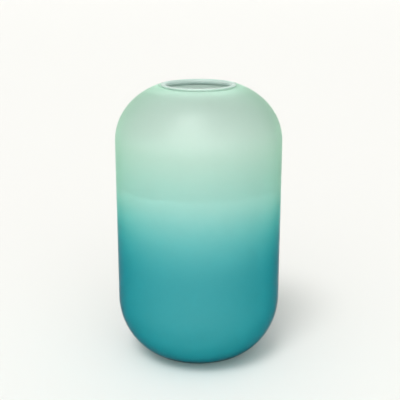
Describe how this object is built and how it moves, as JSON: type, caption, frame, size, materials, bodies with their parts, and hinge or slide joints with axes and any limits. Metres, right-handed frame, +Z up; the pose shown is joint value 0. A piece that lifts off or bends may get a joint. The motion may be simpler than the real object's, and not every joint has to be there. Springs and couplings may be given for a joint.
{
  "type": "hand blown cased glass vase",
  "caption": "Upright capsule-shaped cased glass vase, satin outside, mint above fading to deep teal below, with a small plain mouth and a ground flat base.",
  "frame": {"origin": "centre of the ground flat base, on the surface the vase stands on", "axes": "+Z up the vase's axis of revolution, towards the mouth; +X and +Y across it, with no front or back"},
  "size_m": [0.1476, 0.1476, 0.25],
  "materials": {
    "satin_casing_glass": "clear glass with an acid-etched satin outer face",
    "base_glass": "thick clear glass, satin outside, with a fine-ground flat and a polished pontil hollow",
    "teal_glass": "translucent deep teal glass, feathered out at its upper edge",
    "mint_opaline_glass": "translucent mint opaline glass",
    "core_glass": "clear glass with a smooth free-blown inner face",
    "polished_lip_glass": "fire-polished glass lip"
  },
  "bodies": {
    "root": {"clear_casing": "satin_casing_glass", "base_sham": "base_glass", "teal_overlay": "teal_glass", "mint_overlay": "mint_opaline_glass", "core_bubble": "core_glass", "lip_bead": "polished_lip_glass"}
  },
  "joints": []
}
